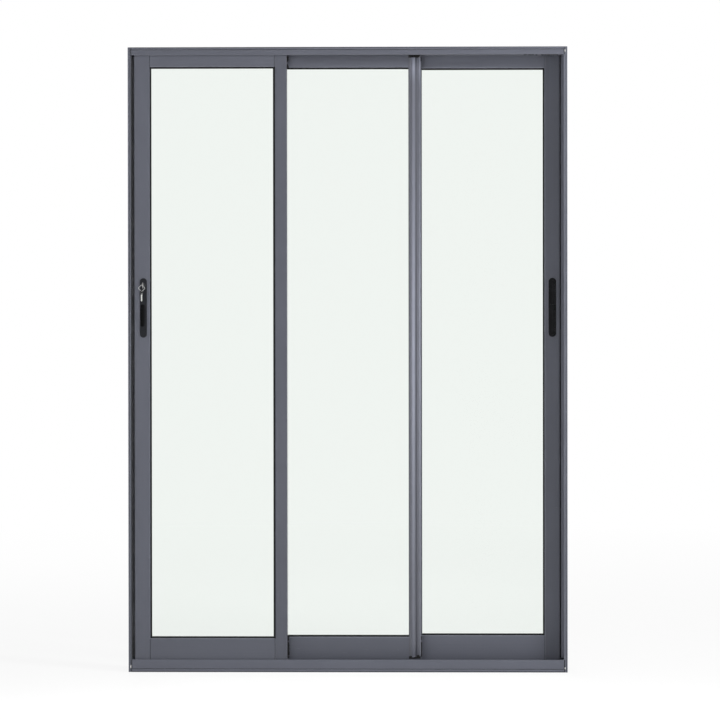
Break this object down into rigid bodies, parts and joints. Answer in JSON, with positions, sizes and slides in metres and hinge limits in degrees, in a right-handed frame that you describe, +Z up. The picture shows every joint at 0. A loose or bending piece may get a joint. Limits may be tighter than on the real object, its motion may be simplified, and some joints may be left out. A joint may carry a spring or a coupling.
{
  "type": "sliding glass patio door",
  "caption": "Dark metal sliding patio door: glazed panels in parallel lanes of one frame, flush pulls, a keyed lock with hanging keys.",
  "frame": {"origin": "middle of the frame on the underside of the sill", "axes": "+Z up, the front with the lock faces -Y, +X to the right seen from the front"},
  "size_m": [1.5, 0.1553, 2.135],
  "materials": {
    "frame_metal": "satin",
    "panel_metal": "satin",
    "clear_glass": "polished",
    "gasket_rubber": "matte",
    "lock_black": "satin",
    "barrel_metal": "satin",
    "key_metal": "satin",
    "keeper_steel": "satin",
    "carriage_plastic": "matte",
    "wheel_plastic": "satin"
  },
  "bodies": {
    "frame": {"sill_track": "frame_metal", "head_track": "frame_metal", "left_jamb": "frame_metal", "right_jamb": "frame_metal", "left_keeper": "keeper_steel"},
    "left_panel": {"left_top_rail": "panel_metal", "left_bottom_rail": "panel_metal", "left_glass": "clear_glass", "left_gasket": "gasket_rubber", "left_carriages": "carriage_plastic", "left_wheels": "wheel_plastic", "left_lock_stile": "panel_metal", "left_meeting_stile": "panel_metal", "left_lock_plate": "lock_black", "left_lock_barrel": "barrel_metal", "left_key": "key_metal", "left_key_ring": "key_metal", "left_spare_key": "key_metal", "left_latch": "keeper_steel", "left_inside_plate": "lock_black", "left_inside_turn": "barrel_metal"},
    "middle_panel": {"middle_top_rail": "panel_metal", "middle_bottom_rail": "panel_metal", "middle_glass": "clear_glass", "middle_gasket": "gasket_rubber", "middle_carriages": "carriage_plastic", "middle_wheels": "wheel_plastic", "middle_left_stile": "panel_metal", "middle_right_stile": "panel_metal", "middle_interlock_cover": "panel_metal"},
    "right_panel": {"right_top_rail": "panel_metal", "right_bottom_rail": "panel_metal", "right_glass": "clear_glass", "right_gasket": "gasket_rubber", "right_carriages": "carriage_plastic", "right_wheels": "wheel_plastic", "right_meeting_stile": "panel_metal", "right_lock_stile": "panel_metal", "right_pull": "lock_black", "right_inside_pull": "lock_black"}
  },
  "joints": [
    {"name": "left_panel_slide", "type": "slide", "parent": "frame", "child": "left_panel", "axis": [1, 0, 0], "range_m": [-0.011, 0.947]},
    {"name": "middle_panel_slide", "type": "slide", "parent": "frame", "child": "middle_panel", "axis": [1, 0, 0], "range_m": [-0.485, 0.485]},
    {"name": "right_panel_slide", "type": "slide", "parent": "frame", "child": "right_panel", "axis": [1, 0, 0], "range_m": [-0.947, 0.011]}
  ]
}
